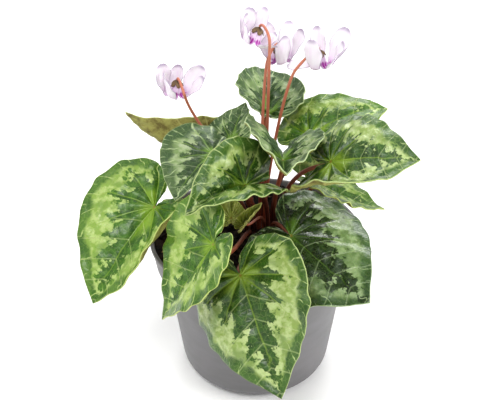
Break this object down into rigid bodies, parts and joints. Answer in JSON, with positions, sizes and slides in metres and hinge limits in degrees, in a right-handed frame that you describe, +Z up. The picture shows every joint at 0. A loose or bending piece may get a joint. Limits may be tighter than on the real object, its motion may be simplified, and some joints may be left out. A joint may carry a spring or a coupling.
{
  "type": "potted cyclamen",
  "caption": "Round nursery pot of peat holding a cyclamen with heart-shaped marbled leaves on long stems and nodding flowers.",
  "frame": {"origin": "centre of the pot's foot, on the surface it stands on", "axes": "+Z up along the pot's axis, -Y towards the front of the plant"},
  "size_m": [0.177, 0.19, 0.2151],
  "materials": {
    "pot_plastic": "satin injection-moulded grey polypropylene",
    "peat": "damp crumbly peat with pale fibre and grit",
    "tuber_skin": "rough brown corky skin",
    "leaf_blade": "waxy variegated leaf, khaki underneath",
    "leaf_stem": "smooth fleshy red-brown stem",
    "flower_stem": "smooth fleshy terracotta stem",
    "sepal": "thin brown-green sepal",
    "petal": "thin pale pink petal with magenta base",
    "style": "smooth pink style"
  },
  "bodies": {
    "root": {"pot": "pot_plastic", "soil": "peat", "tuber": "tuber_skin", "leaf_front": "leaf_blade", "leaf_stem_front": "leaf_stem", "leaf_front_right": "leaf_blade", "leaf_stem_front_right": "leaf_stem", "leaf_front_left": "leaf_blade", "leaf_stem_front_left": "leaf_stem", "leaf_left": "leaf_blade", "leaf_stem_left": "leaf_stem", "leaf_centre": "leaf_blade", "leaf_stem_centre": "leaf_stem", "leaf_mid_left": "leaf_blade", "leaf_stem_mid_left": "leaf_stem", "leaf_back_left": "leaf_blade", "leaf_stem_back_left": "leaf_stem", "leaf_back_inner": "leaf_blade", "leaf_stem_back_inner": "leaf_stem", "leaf_back": "leaf_blade", "leaf_stem_back": "leaf_stem", "leaf_folded": "leaf_blade", "leaf_stem_folded": "leaf_stem", "leaf_back_right": "leaf_blade", "leaf_stem_back_right": "leaf_stem", "leaf_right": "leaf_blade", "leaf_stem_right": "leaf_stem", "leaf_right_low": "leaf_blade", "leaf_stem_right_low": "leaf_stem", "leaf_young": "leaf_blade", "leaf_stem_young": "leaf_stem", "leaf_young_upright": "leaf_blade", "leaf_stem_young_upright": "leaf_stem", "petals_left": "petal", "calyx_left": "sepal", "style_left": "style", "flower_stem_left": "flower_stem", "petals_top": "petal", "calyx_top": "sepal", "style_top": "style", "flower_stem_top": "flower_stem", "petals_middle": "petal", "calyx_middle": "sepal", "style_middle": "style", "flower_stem_middle": "flower_stem", "petals_right": "petal", "calyx_right": "sepal", "style_right": "style", "flower_stem_right": "flower_stem"}
  },
  "joints": []
}
